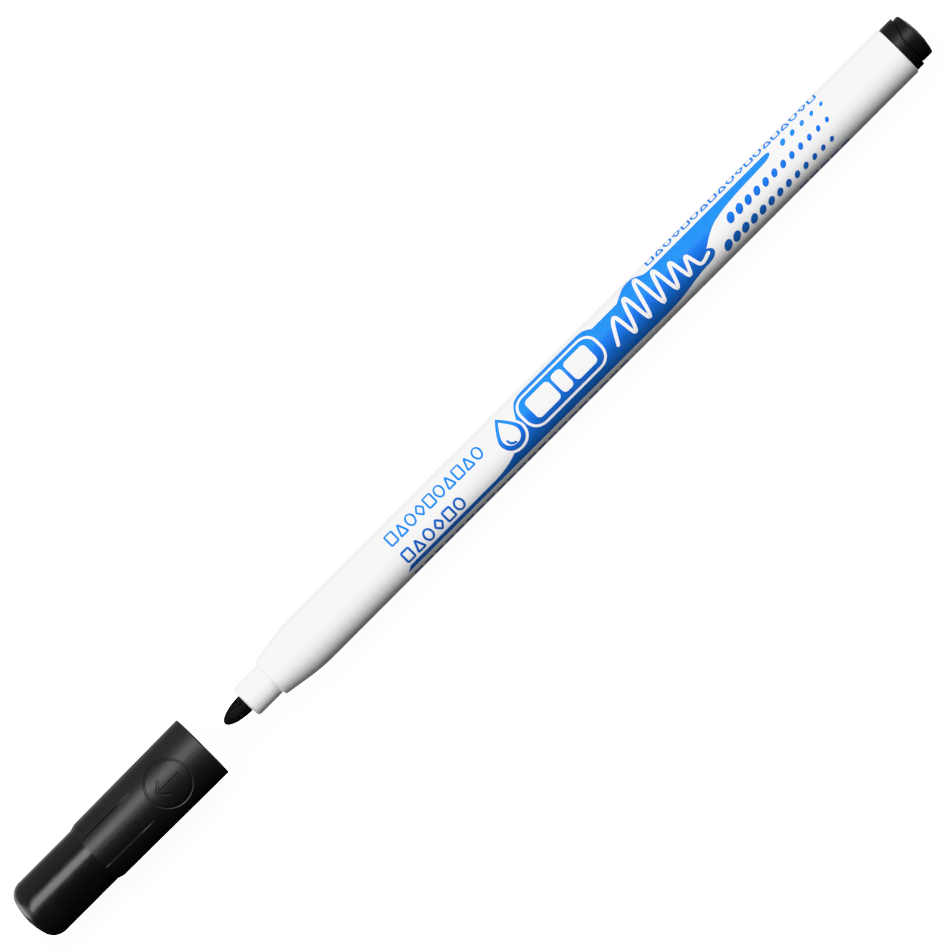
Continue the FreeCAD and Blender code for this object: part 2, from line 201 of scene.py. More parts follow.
class Nodes:
    """A material being built. add() makes a node and sets its inputs, or links them to other nodes."""

    def __init__(self, name):
        self.material = bpy.data.materials.new(name)
        self.material.use_nodes = True
        self.tree = self.material.node_tree
        self.bsdf = self.tree.nodes["Principled BSDF"]
        self.place = self.add("ShaderNodeTexCoord").outputs["Object"]

    def add(self, kind, inputs=None, **settings):
        node = self.tree.nodes.new(kind)
        for key, value in settings.items():
            setattr(node, key, value)
        for key, value in (inputs or {}).items():
            self.put(node.inputs[key], value)
        return node

    def put(self, socket, value):
        if isinstance(value, bpy.types.NodeSocket):
            self.tree.links.new(value, socket)
        else:
            socket.default_value = value

    def shader(self, **inputs):
        for key, value in inputs.items():
            self.put(self.bsdf.inputs[key.replace("_", " ")], value)

    def noise(self, scale, detail=2.0, stretch=(1, 1, 1), offset=(0, 0, 0)):
        """Noise with features about 1 / scale metres wide. A smaller stretch draws them out along an axis."""
        moved = self.add("ShaderNodeMapping", {"Vector": self.place, "Scale": stretch, "Location": offset})
        inputs = {"Vector": moved.outputs[0], "Scale": scale, "Detail": detail}
        return self.add("ShaderNodeTexNoise", inputs).outputs["Fac"]

    def spread(self, value, low, high, start=0.3, end=0.7):
        """Maps value from start..end to low..high."""
        inputs = {"Value": value, "From Min": start, "From Max": end, "To Min": low, "To Max": high}
        return self.add("ShaderNodeMapRange", inputs).outputs["Result"]

    def blend(self, factor, one, two):
        node = self.add("ShaderNodeMix", {0: factor}, data_type="RGBA")
        self.put(node.inputs[6], (*one, 1.0) if isinstance(one, tuple) else one)
        self.put(node.inputs[7], (*two, 1.0) if isinstance(two, tuple) else two)
        return node.outputs[2]

    def bump(self, *layers):
        """Bump from (height, millimetres) layers, one on top of another."""
        normal = None
        for height, distance in layers:
            inputs = {"Height": height, "Distance": distance * MM, "Strength": 1.0}
            if normal is not None:
                inputs["Normal"] = normal
            normal = self.add("ShaderNodeBump", inputs).outputs["Normal"]
        self.put(self.bsdf.inputs["Normal"], normal)


def white_plastic():
    """Satin white moulding with a faint waviness and fine surface grain."""
    n = Nodes("white_plastic")
    clouds = n.noise(90, 3.0, stretch=(0.4, 1, 1))
    grain = n.noise(9000, 2.0)
    n.shader(Base_Color=n.blend(n.spread(clouds, 0, 1), (0.885, 0.885, 0.885), (0.91, 0.91, 0.905)))
    n.shader(Roughness=n.spread(n.noise(700, 4.0), 0.42, 0.52))
    n.shader(IOR=1.45, Specular_IOR_Level=0.3)
    n.bump((n.noise(160, 2.0, stretch=(0.3, 1, 1)), 0.012), (grain, 0.0012))
    return n.material


def black_plastic(name):
    """Satin black moulding, as a Nodes whose roughness may still be changed."""
    n = Nodes(name)
    clouds = n.noise(150, 3.0)
    n.shader(Base_Color=n.blend(n.spread(clouds, 0, 1), (0.0028, 0.0028, 0.003), (0.005, 0.005, 0.0053)))
    n.shader(Roughness=n.spread(n.noise(900, 4.0), 0.36, 0.44), IOR=1.5, Specular_IOR_Level=0.2)
    n.bump((n.noise(220, 2.0), 0.01), (n.noise(6500, 3.0), 0.001))
    return n


def cap_plastic(step_x):
    """The cap's black: fine and shiny on the tip, up to step_x, and duller from there to the mouth."""
    n = black_plastic("cap_plastic")
    along = n.add("ShaderNodeSeparateXYZ", {"Vector": n.place}).outputs["X"]
    past_step = n.spread(along, 0, 1, step_x - 0.1 * MM, step_x + 0.1 * MM)
    tip = n.spread(n.noise(900, 4.0, offset=(0.3, 0, 0)), 0.22, 0.27)
    wide = n.spread(along, 0.37, 0.48, step_x, MOUTH_X)
    n.shader(Roughness=n.add("ShaderNodeMix", {0: past_step, 2: tip, 3: wide}).outputs[0])
    n.shader(Specular_IOR_Level=0.5)
    return n.material


def nib_felt():
    """Bonded black fibre: fine strands along the nib, with painted glints: specks where the base colour is
    lighter, standing in for light caught on the fibres.
    """
    n = Nodes("nib_felt")
    strands = n.noise(2600, 4.0, stretch=(0.16, 1, 1))
    specks = n.noise(5200, 2.0)
    painted_glints = n.spread(specks, 0, 1, 0.56, 0.7)
    # painted highlight: the specks lighten the base colour as glints of light on the fibres
    n.shader(Base_Color=n.blend(painted_glints, (0.0008, 0.0008, 0.0009), (0.035, 0.035, 0.036)))
    n.shader(Roughness=n.spread(strands, 0.45, 0.8), Specular_IOR_Level=0.07)
    n.bump((strands, 0.03), (specks, 0.03))
    return n.material


def reservoir_fibre():
    """Ink-soaked polyester tow."""
    n = Nodes("reservoir_fibre")
    strands = n.noise(2400, 4.0, stretch=(0.05, 1, 1))
    n.shader(Base_Color=n.blend(n.spread(strands, 0, 1), (0.01, 0.01, 0.012), (0.05, 0.05, 0.055)))
    n.shader(Roughness=n.spread(n.noise(800, 3.0), 0.55, 0.8))
    n.bump((strands, 0.03))
    return n.material


def film():
    """Milky wrapped film."""
    n = Nodes("reservoir_film")
    creases = n.noise(500, 3.0, stretch=(0.2, 1, 1))
    n.shader(Base_Color=n.blend(n.spread(creases, 0, 1), (0.62, 0.65, 0.7), (0.8, 0.82, 0.85)))
    n.shader(Roughness=n.spread(creases, 0.18, 0.32), Transmission_Weight=0.35, IOR=1.5)
    n.bump((creases, 0.02))
    return n.material


def seal_plastic():
    """Soft natural polyethylene."""
    n = Nodes("seal_plastic")
    clouds = n.noise(300, 3.0)
    n.shader(Base_Color=n.blend(n.spread(clouds, 0, 1), (0.72, 0.72, 0.69), (0.8, 0.8, 0.77)))
    n.shader(Roughness=n.spread(n.noise(1200, 3.0), 0.38, 0.5))
    n.shader(Subsurface_Weight=0.15, Subsurface_Scale=0.0015)
    n.bump((n.noise(4000, 2.0), 0.003))
    return n.material


def blue_ink():
    """Screen-printed blue that runs from light over the top of the barrel to dark towards -Y."""
    n = Nodes("blue_ink")
    across = n.add("ShaderNodeSeparateXYZ", {"Vector": n.place}).outputs["Y"]
    ramp = n.add("ShaderNodeValToRGB", {"Fac": n.spread(across, 0, 1, -2.8 * MM, 1.2 * MM)})
    dark, light = ramp.color_ramp.elements
    dark.color = (0.001, 0.098, 0.44, 1)
    light.color = (0.008, 0.22, 0.84, 1)
    ramp.color_ramp.elements.new(0.33).color = (0.001, 0.11, 0.52, 1)
    ramp.color_ramp.elements.new(0.85).color = (0.001, 0.165, 0.80, 1)
    thin = n.blend(n.spread(n.noise(2200, 4.0), 0, 0.02), ramp.outputs["Color"], (0.5, 0.7, 0.95))
    n.shader(Base_Color=thin)
    n.shader(Roughness=n.spread(n.noise(1500, 3.0), 0.45, 0.6), IOR=1.45, Specular_IOR_Level=0.08)
    n.bump((n.noise(5000, 2.0), 0.002))
    return n.material


def white_ink():
    """Screen-printed white over the blue."""
    n = Nodes("white_ink")
    mottle = n.noise(2500, 4.0)
    n.shader(Base_Color=n.blend(n.spread(mottle, 0, 1), (0.88, 0.89, 0.9), (0.92, 0.92, 0.915)))
    n.shader(Roughness=n.spread(n.noise(1500, 3.0), 0.45, 0.6), IOR=1.45, Specular_IOR_Level=0.2)
    n.bump((n.noise(5000, 2.0), 0.002))
    return n.material


WHITE = white_plastic()
INK_BLUE = blue_ink()
INK_WHITE = white_ink()


def finish_piece(piece, body, material, slot, *replaced):
    piece.data.materials.clear()
    piece.data.materials.append(material)
    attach(piece, body)
    if replaced:
        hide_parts(*replaced)


# ---------------------------------------------------------------- barrel

COLLAR_R = 2.86
COLLAR_LENGTH = 5.2
COLLAR_ROUND = 0.65
SHOULDER_R = 3.5
SHOULDER_ROUND = 0.5
CONE_LENGTH = 4.85
CONE_END_R = 4.19
TAPER_LENGTH = 9.25
TAPER_ARC = 31.0
REAR_ROUND = 0.2
BORE_R = 3.55
BORE_START = 14.4
NIB_SEAT_R = 1.57
NIB_SEAT_LENGTH = 9.0
NIB_SEAT_MOUTH_R = 1.9
VENT_DEPTH = 0.3
VENT_HALF = 9.8
BARREL_RIBS = 6
RIB_TOP = 3.15
RIB_HALF = 4.0
RIB_START = 15.0
RIB_END = 128.0


def arc_through(start, end, radius, steps):
    """Points of the outward-bulging arc of that radius from start to end, (x, r) with x rising."""
    dx, dr = end[0] - start[0], end[1] - start[1]
    chord = math.hypot(dx, dr)
    drop = math.sqrt(radius**2 - chord**2 / 4)
    centre = ((start[0] + end[0]) / 2 + dr / chord * drop, (start[1] + end[1]) / 2 - dx / chord * drop)
    first = math.degrees(math.atan2(start[1] - centre[1], start[0] - centre[0]))
    last = math.degrees(math.atan2(end[1] - centre[1], end[0] - centre[0]))
    return arc(centre[0], centre[1], radius, first, last, steps)


def barrel_bore(x, r, angle):
    """Cuts the vents beside the nib and raises the ribs that centre the reservoir."""
    if r <= NIB_SEAT_R and x < NIB_SEAT_LENGTH:
        inside = from_nearest(angle, 4, TOP) < VENT_HALF + 0.1
        return (x, NIB_SEAT_R + VENT_DEPTH) if inside else (x, r)
    if r <= RIB_TOP and x > BORE_START:
        inside = from_nearest(angle, BARREL_RIBS, TOP) < RIB_HALF + 0.1
        return (x, r) if inside else (x, BORE_R)
    return x, r


def make_barrel():
    step = COLLAR_LENGTH
    cone = [(step + CONE_LENGTH, CONE_END_R), (step + TAPER_LENGTH, BARREL_R)]
    outer = [
        *arc(COLLAR_ROUND, COLLAR_R - COLLAR_ROUND, COLLAR_ROUND, 180, 90, 8),
        (step - 0.12, COLLAR_R),
        *arc(step - 0.12, COLLAR_R + 0.12, 0.12, 270, 360, 4)[1:],
        *arc(step + SHOULDER_ROUND, SHOULDER_R - SHOULDER_ROUND, SHOULDER_ROUND, 180, 98, 6),
        *spaced((step + SHOULDER_ROUND, SHOULDER_R), cone[0], 6),
        *arc_through(cone[0], cone[1], TAPER_ARC, 12),
        *spaced((step + TAPER_LENGTH, BARREL_R), (BARREL_LENGTH - REAR_ROUND, BARREL_R), 40),
        *arc(BARREL_LENGTH - REAR_ROUND, BARREL_R - REAR_ROUND, REAR_ROUND, 90, 0, 5),
    ]
    inner = [
        (BARREL_LENGTH, BORE_R),
        (RIB_END + 0.1, BORE_R),
        (RIB_END, RIB_TOP),
        (RIB_START, RIB_TOP),
        (RIB_START - 0.1, BORE_R),
        (BORE_START, BORE_R),
        (NIB_SEAT_LENGTH, NIB_SEAT_MOUTH_R),
        (NIB_SEAT_LENGTH - 0.05, NIB_SEAT_R),
        (0.0, NIB_SEAT_R),
    ]
    angles = columns(3, *sides(4, VENT_HALF, TOP), *sides(4, VENT_HALF + 0.4, TOP),
                     *sides(BARREL_RIBS, RIB_HALF, TOP), *sides(BARREL_RIBS, RIB_HALF + 0.4, TOP))
    piece = turned("barrel_tube", COLLAR_X, outer + inner, angles, barrel_bore, closed=True)
    finish_piece(piece, "barrel", WHITE, "white_plastic", "barrel")


make_barrel()

# ---------------------------------------------------------------- nib

NIB_R = 1.55
NIB_ROD_END = 15.0
NIB_TAIL_END = 22.0
NIB_TAIL_R = 0.9


def make_nib():
    """A bullet point that is half an ellipse, a plain rod through the collar and a tapered tail."""
    point = []
    for i in range(25):
        a = math.pi / 2 * i / 24
        point.append((-NIB_REACH * math.cos(a), NIB_R * math.sin(a)))
    rod = [*spaced((0, NIB_R), (NIB_ROD_END, NIB_R), 8), (NIB_ROD_END, NIB_R), (NIB_TAIL_END, NIB_TAIL_R)]
    profile = point + rod + [(NIB_TAIL_END, 0)]
    piece = turned("nib_rod", COLLAR_X, profile, columns(6))
    finish_piece(piece, "barrel", nib_felt(), "nib_fibre", "nib")


make_nib()

# ---------------------------------------------------------------- end plug

STUB_R = 3.88
FLANGE_R = 4.26
FLANGE_LOW = 1.44
FLANGE_HIGH = 2.7
RAMP_START = 0.2
RAMP_BEND_END = 0.9
RAMP_SLOPE = 0.335
PLUG_DOME = 0.57
PLUG_EDGE_ROUND = 0.4
FLANGE_ROUND = 0.14
ROOT_GROOVE = 0.12
SPIGOT_R = 3.5
SPIGOT_LENGTH = 9.0
SPIGOT_WALL = 0.9


def flange_face(y):
    """How far the flange's outer face stands off the barrel at y, in millimetres: flat, then a ramp."""
    bend = RAMP_BEND_END - RAMP_START
    u = min(max((y - RAMP_START) / bend, 0.0), 1.0)
    rise = bend * RAMP_SLOPE / 2 * u * u + max(y - RAMP_BEND_END, 0.0) * RAMP_SLOPE
    return min(FLANGE_LOW + rise, FLANGE_HIGH)


def plug_face(x, r, angle):
    """Moves the points of the flange's outer face, which are drawn about x = FLANGE_LOW, on to the ramp."""
    if FLANGE_LOW - 0.3 < x < FLANGE_LOW + 0.3 and r > STUB_R - ROOT_GROOVE - 0.01:
        return x - FLANGE_LOW + flange_face(r * math.cos(math.radians(angle))), r
    return x, r


def make_end_plug():
    inner = SPIGOT_R - SPIGOT_WALL
    stub = domed_end(PLUG_REACH, 1, STUB_R, PLUG_DOME, PLUG_EDGE_ROUND)
    groove = [
        (FLANGE_LOW + 0.2, STUB_R),
        (FLANGE_LOW + 0.1, STUB_R - ROOT_GROOVE),
        (FLANGE_LOW, STUB_R - ROOT_GROOVE),
    ]
    flange = arc(FLANGE_LOW - FLANGE_ROUND, FLANGE_R - FLANGE_ROUND, FLANGE_ROUND, 0, 90, 5)
    spigot = [
        (0.0, FLANGE_R),
        (0.0, SPIGOT_R),
        (-SPIGOT_LENGTH + 0.35, SPIGOT_R),
        (-SPIGOT_LENGTH, SPIGOT_R - 0.35),
        (-SPIGOT_LENGTH, inner),
        (0.0, inner),
        (1.7, inner),
        (2.6, inner - SPIGOT_WALL),
        (2.6, 0),
    ]
    piece = turned("end_plug_body", REAR_X, stub + groove + flange + spigot, columns(3), plug_face)
    finish_piece(piece, "barrel", black_plastic("plug_plastic").material, "black_plastic", "end_plug")


make_end_plug()

# ---------------------------------------------------------------- cap

CAP_MOUTH_R = AXIS_Z / MM
CAP_MOUTH_ROUND = 0.2
CAP_STEP = 22.25
CAP_STEP_R = 5.46
CAP_STEP_RAMP = 1.05
CAP_STEP_ROUND = 0.2
CAP_TIP_R = 5.14
CAP_DOME = 1.33
CAP_DOME_ROUND = 2.7
CAP_BORE_R = 4.72
CAP_TIP_BORE_R = 4.25
CAP_END_WALL = 1.9
CAP_LEAD = 0.6
CAP_LEAD_DEPTH = 0.15
GRIP_COUNT = 6
GRIP_R = 4.56
GRIP_HALF = 3.7
GRIP_START = 1.5
GRIP_END = 20.0
PANEL_START = 13.0
PANEL_RUN_END = 16.0
PANEL_END = 23.9
PANEL_DEPTH = 0.25
PANEL_END_R = 5.19
PANEL_HALF = 31.0
PANEL_WALL = 0.5
EMBLEM_CENTRE = 7.67
EMBLEM_SHIFT = 0.3
EMBLEM_R = 3.68
EMBLEM_WIDTH = 0.42
EMBLEM_SLOPE = 0.15
EMBLEM_DEPTH = 0.13
ARROW_HALF = 2.3
ARROW_BARB = 1.5
ARROW_WIDTH = 0.5


def cap_surface(distance):
    """Outer radius of the cap's wide part at a distance from the mouth."""
    return CAP_MOUTH_R - (CAP_MOUTH_R - CAP_STEP_R) * distance / CAP_STEP


def panel_floor(distance):
    """Radius of the recessed panel's floor at a distance from the mouth."""
    run_floor = cap_surface(PANEL_RUN_END) - PANEL_DEPTH
    if distance < PANEL_START:
        return CAP_MOUTH_R
    if distance < PANEL_RUN_END:
        t = (distance - PANEL_START) / (PANEL_RUN_END - PANEL_START)
        return cap_surface(PANEL_START) + (run_floor - cap_surface(PANEL_START)) * t
    t = (distance - PANEL_RUN_END) / (PANEL_END - PANEL_RUN_END)
    return run_floor + (PANEL_END_R - run_floor) * t


def cap_details(x, r, angle):
    """Sinks the two panels into the outside and leaves the grip ribs standing on the inside."""
    if r > CAP_BORE_R + CAP_LEAD_DEPTH and -x < PANEL_END:
        t = (PANEL_HALF + PANEL_WALL - from_nearest(angle, 2, TOP)) / (2 * PANEL_WALL)
        t = min(max(t, 0.0), 1.0)
        return x, r + (min(r, panel_floor(-x)) - r) * t * t * (3 - 2 * t)
    if r == GRIP_R and from_nearest(angle, GRIP_COUNT, TOP) > GRIP_HALF + 0.01:
        return x, CAP_BORE_R
    return x, r


def surface_cutter(name, path, width, depth, closed):
    """A closed mesh that cuts a groove along a path seen from above, (x from the mouth, y).

    The groove is width wide at the cap's surface, and its walls slope in to a floor that lies depth below.
    """
    bm = bmesh.new()
    count = len(path)
    sections = []
    for i, (x, y) in enumerate(path):
        before = path[i - 1] if closed or i > 0 else path[i]
        after = path[(i + 1) % count] if closed or i < count - 1 else path[i]
        along = Vector((after[0] - before[0], after[1] - before[1])).normalized()
        section = []
        for side, depth_here in ((-1, -depth), (1, -depth), (1, depth), (-1, depth)):
            out = side * (width / 2 - EMBLEM_SLOPE * depth_here / depth)
            px = x - along.y * out
            py = y + along.x * out
            z = math.sqrt((cap_surface(-px) - depth_here) ** 2 - py**2)
            section.append(bm.verts.new((MOUTH_X + px * MM, py * MM, AXIS_Z + z * MM)))
        sections.append(section)
    for i in range(count if closed else count - 1):
        one, two = sections[i], sections[(i + 1) % count]
        for j in range(4):
            bm.faces.new([one[j], one[(j + 1) % 4], two[(j + 1) % 4], two[j]])
    if not closed:
        bm.faces.new(sections[0])
        bm.faces.new(sections[-1])
    return new_piece(name, bm)


def emblem_cutters():
    """A ring, and inside it a plain arrow that points the way the cap pulls off."""
    ring = []
    for i in range(96):
        a = math.tau * i / 96
        ring.append((-EMBLEM_CENTRE + EMBLEM_R * math.cos(a), -EMBLEM_SHIFT + EMBLEM_R * math.sin(a)))
    cutters = [surface_cutter("emblem_ring", ring, EMBLEM_WIDTH, EMBLEM_DEPTH, True)]
    tail = (-EMBLEM_CENTRE + ARROW_HALF, -EMBLEM_SHIFT)
    neck = (-EMBLEM_CENTRE - ARROW_HALF + ARROW_WIDTH * 0.6, -EMBLEM_SHIFT)
    shaft = [tail, *spaced(tail, neck, 6), neck]
    cutters.append(surface_cutter("arrow_shaft", shaft, ARROW_WIDTH, EMBLEM_DEPTH, False))
    barbs = []
    for side in (-1, 1):
        tip = (-EMBLEM_CENTRE - ARROW_HALF, -EMBLEM_SHIFT)
        end = (tip[0] + ARROW_BARB, tip[1] + side * ARROW_BARB)
        half = [tip, *spaced(tip, end, 5), end]
        barbs = half[::-1] if side < 0 else barbs + half[1:]
    cutters.append(surface_cutter("arrow_head", barbs, ARROW_WIDTH, EMBLEM_DEPTH + 0.01, False))
    return cutters


def make_cap():
    tip_end = CAP_STEP + CAP_STEP_RAMP
    floor = -(CAP_LENGTH - CAP_END_WALL)
    dome = domed_end(-CAP_LENGTH, -1, CAP_TIP_R, CAP_DOME, CAP_DOME_ROUND)
    stations = [PANEL_END + 0.1, PANEL_END, tip_end + 0.05]
    ramp_slope = (CAP_STEP_R - CAP_TIP_R) / CAP_STEP_RAMP
    shoulder = [
        (-(CAP_STEP + CAP_STEP_ROUND), CAP_STEP_R - ramp_slope * CAP_STEP_ROUND),
        (-(CAP_STEP + CAP_STEP_ROUND / 2), CAP_STEP_R - ramp_slope * CAP_STEP_ROUND / 3),
        (-CAP_STEP, CAP_STEP_R),
    ]
    wide = [(-d, cap_surface(d)) for d in (21.0, 19.0, 17.0, PANEL_RUN_END, 14.5, PANEL_START + 0.02,
                                           PANEL_START, 11.5, 9.6, 7.7, 5.8, 3.9, 2.0, 1.0)]
    outer = [
        *dome,
        *spaced(dome[-1], (-PANEL_END - 0.1, CAP_TIP_R), 10),
        *[(-x, CAP_TIP_R) for x in stations],
        (-tip_end, CAP_TIP_R),
        *shoulder,
        *wide,
        *arc(-CAP_MOUTH_ROUND, CAP_MOUTH_R - CAP_MOUTH_ROUND, CAP_MOUTH_ROUND, 90, 0, 6),
    ]
    inner = [
        (0.0, CAP_BORE_R + CAP_LEAD_DEPTH),
        (-CAP_LEAD, CAP_BORE_R),
        (-(GRIP_START - 0.1), CAP_BORE_R),
        (-(GRIP_START + 0.2), GRIP_R),
        (-(GRIP_END - 0.2), GRIP_R),
        (-GRIP_END, CAP_BORE_R),
        (-(CAP_STEP - CAP_LEAD), CAP_BORE_R),
        (-tip_end, CAP_TIP_BORE_R),
        (floor, CAP_TIP_BORE_R),
        (floor, 0),
    ]
    walls = [sides(2, PANEL_HALF + PANEL_WALL * i / 2, TOP) for i in range(-2, 3)]
    angles = columns(3, *[angle for wall in walls for angle in wall],
                     *sides(GRIP_COUNT, GRIP_HALF, TOP), *sides(GRIP_COUNT, GRIP_HALF + 0.4, TOP))
    piece = turned("cap_body", MOUTH_X, outer + inner, angles, cap_details)
    carve(piece, emblem_cutters())
    finish_piece(piece, "cap", cap_plastic(MOUTH_X - tip_end * MM), "black_plastic", "cap_shell")


make_cap()

# ---------------------------------------------------------------- hidden CAD pieces keep their shape


def coat(node, material):
    mesh = frame["nodes"][node].data
    mesh.materials.clear()
    mesh.materials.append(material)


coat("reservoir_core", reservoir_fibre())
coat("reservoir_film", film())
coat("cap_inner_seal", seal_plastic())

# ---------------------------------------------------------------- flat outlines for the print


def trace(start, *steps):
    """A flat outline from start. A step is an (x, around) point, or three of them for a Bezier curve."""
    points = [start]
    for step in steps:
        if not isinstance(step[0], tuple):
            points.append(step)
            continue
        p0, (p1, p2, p3) = points[-1], step
        for i in range(1, 13):
            t = i / 12
            w = ((1 - t) ** 3, 3 * t * (1 - t) ** 2, 3 * t * t * (1 - t), t**3)
            points.append(tuple(w[0] * p0[k] + w[1] * p1[k] + w[2] * p2[k] + w[3] * p3[k] for k in (0, 1)))
    return points


def bar(x, around, length, height, radius=None, tilt=0.0):
    """A rounded bar about (x, around). tilt leans it over by that many millimetres from bottom to top."""
    radius = min(length, height) / 2 if radius is None else radius
    points = []
    for quarter, (sx, sy) in enumerate(((1, 1), (-1, 1), (-1, -1), (1, -1))):
        cx, cy = x + sx * (length / 2 - radius), around + sy * (height / 2 - radius)
        for i in range(7):
            a = math.pi / 2 * (quarter + i / 6)
            px, py = cx + radius * math.cos(a), cy + radius * math.sin(a)
            points.append((px - tilt * (py - around) / height, py))
    return points


def ellipse(x, around, a, b, lean):
    """An ellipse with half axes a and b, the long one leaning by lean degrees towards the top line."""
    turn = math.radians(lean)
    points = []
    for i in range(28):
        t = math.tau * i / 28
        u, v = a * math.cos(t), b * math.sin(t)
        points.append((x + u * math.cos(turn) + v * math.sin(turn),
                       around - u * math.sin(turn) + v * math.cos(turn)))
    return points


def smooth_line(points, steps=10):
    """A Catmull-Rom line through points."""
    ends = [points[0], *points, points[-1]]
    line = []
    for p0, p1, p2, p3 in zip(ends, ends[1:], ends[2:], ends[3:]):
        for i in range(steps):
            t = i / steps
            line.append(tuple(
                p1[k] + 0.5 * t * (p2[k] - p0[k] + t * (2 * p0[k] - 5 * p1[k] + 4 * p2[k] - p3[k]
                + t * (3 * (p1[k] - p2[k]) + p3[k] - p0[k]))) for k in (0, 1)))
    return line + [points[-1]]


class Stroke:
    """A pen stroke of even width along a line. Its ends are round, or joined where the line is closed."""

    def __init__(self, line, width, closed=False):
        self.line = line
        self.half = width / 2
        self.closed = closed

    def across(self, i):
        """From the line to the stroke's left edge at point i."""
        count = len(self.line)
        before = self.line[i - 1] if self.closed or i > 0 else self.line[i]
        after = self.line[(i + 1) % count] if self.closed or i < count - 1 else self.line[i]
        direction = Vector((after[0] - before[0], after[1] - before[1]))
        return Vector((-direction.y, direction.x)).normalized() * self.half

    def draw(self, bm):
        """Adds the stroke's faces to a flat bmesh."""
        pairs = []
        for i, point in enumerate(self.line):
            centre, side = Vector(point), self.across(i)
            pairs.append([bm.verts.new((*(centre + side), 0)), bm.verts.new((*(centre - side), 0))])
        following = pairs[1:] + (pairs[:1] if self.closed else [])
        for one, two in zip(pairs, following):
            bm.faces.new([one[0], one[1], two[1], two[0]])
        if not self.closed:
            self.round_end(bm, self.line[0], pairs[0])
            self.round_end(bm, self.line[-1], pairs[-1][::-1])

    def round_end(self, bm, centre, pair):
        """A half disc on the pair's far side, anticlockwise from the first of the pair to the second."""
        start = math.atan2(pair[0].co.y - centre[1], pair[0].co.x - centre[0])
        angles = [start + math.pi * i / 8 for i in range(1, 8)]
        rim = [bm.verts.new((centre[0] + self.half * math.cos(a), centre[1] + self.half * math.sin(a), 0))
               for a in angles]
        bm.faces.new([pair[0], *rim, pair[1]])


# ---------------------------------------------------------------- wrapping the print on the barrel

INK_STRIP = 0.35  # widest strip of ink round the barrel, in millimetres, so that it follows the curve
INK_SUNK = 0.01  # the film's underside below the barrel's surface
LAYER = 0.014  # height of one printed layer over the one below


def print_ink(name, shapes, layer, material, slot):
    """One printed film from flat shapes, each a Stroke, an outline or (outline, hole).

    It is closed: its underside lies just inside the barrel, and higher layers stand over lower ones.
    """
    bm = bmesh.new()
    for shape in shapes:
        if isinstance(shape, Stroke):
            shape.draw(bm)
            continue
        loops = list(shape) if isinstance(shape, tuple) else [shape]
        flat = [Vector((x, y, 0)) for loop in loops for x, y in loop]
        verts = [bm.verts.new(p) for p in flat]
        for corners in tessellate_polygon([[Vector((x, y, 0)) for x, y in loop] for loop in loops]):
            bm.faces.new([verts[i] for i in corners])
    low = min(v.co.y for v in bm.verts)
    high = max(v.co.y for v in bm.verts)
    for i in range(1, math.ceil((high - low) / INK_STRIP)):
        everything = bm.verts[:] + bm.edges[:] + bm.faces[:]
        cut_at = (0, low + i * INK_STRIP, 0)
        bmesh.ops.bisect_plane(bm, geom=everything, plane_co=cut_at, plane_no=(0, 1, 0))
    bmesh.ops.recalc_face_normals(bm, faces=bm.faces)
    rim = [(e.verts[0], e.verts[1]) for e in bm.edges if len(e.link_faces) == 1]
    tops = bm.verts[:]
    faces = [f.verts[:] for f in bm.faces]
    under = {}
    for v in tops:
        x, angle = v.co.x, TOP + math.degrees(v.co.y / BARREL_R)
        under[v] = bm.verts.new(on_axis(COLLAR_X, x, BARREL_R - INK_SUNK, angle))
        v.co = on_axis(COLLAR_X, x, BARREL_R + LAYER * layer, angle)
    for corners in faces:
        bm.faces.new([under[v] for v in reversed(corners)])
    for a, b in rim:
        bm.faces.new([a, b, under[b], under[a]])
    finish_piece(new_piece(name, bm), "barrel", material, slot)


# ---------------------------------------------------------------- the print

BAND_TOP = -3.56
BAND_FOOT = 4.0
STRIPE_TOP = 3.18
BADGE_X, BADGE_AROUND = 68.2, -0.7
BADGE_LENGTH, BADGE_HEIGHT = 16.1, 5.75
BADGE_ROUND = 2.3
BADGE_LINE = 0.42
BLOCK_LENGTHS = (4.9, 2.1, 4.5)
BLOCK_HEIGHT = 3.6
BLOCK_ROUND = 0.7
BLOCK_GAP = 0.6
SQUIGGLE_START = (78.2, 1.6)
SQUIGGLE_CRESTS = ((80.6, -1.9), (83.7, -3.1), (86.8, -4.4), (89.7, -2.9), (92.4, -1.8), (94.8, -0.7))
SQUIGGLE_END = (97.7, 1.35)
SQUIGGLE_LOW = 2.1  # the first trough, and each later one is SQUIGGLE_RISE higher
SQUIGGLE_RISE = 0.07
SQUIGGLE_FALL = 0.95  # along the barrel from a crest to its trough
SQUIGGLE_LINE = 0.58
DROP_X, DROP_AROUND = 57.0, -1.1
DROP_LENGTH, DROP_WIDTH = 6.3, 4.5
DROP_BORDER = 0.4  # white round the drop
DROP_SHINE_LINE = 0.4
DOODLE_LINE = 0.37
DASH_LENGTH, DASH_HEIGHT = 1.75, 0.36
DASH_PITCH, DASH_ROW_PITCH = 2.2, 1.1
DASH_TOP = 5.4


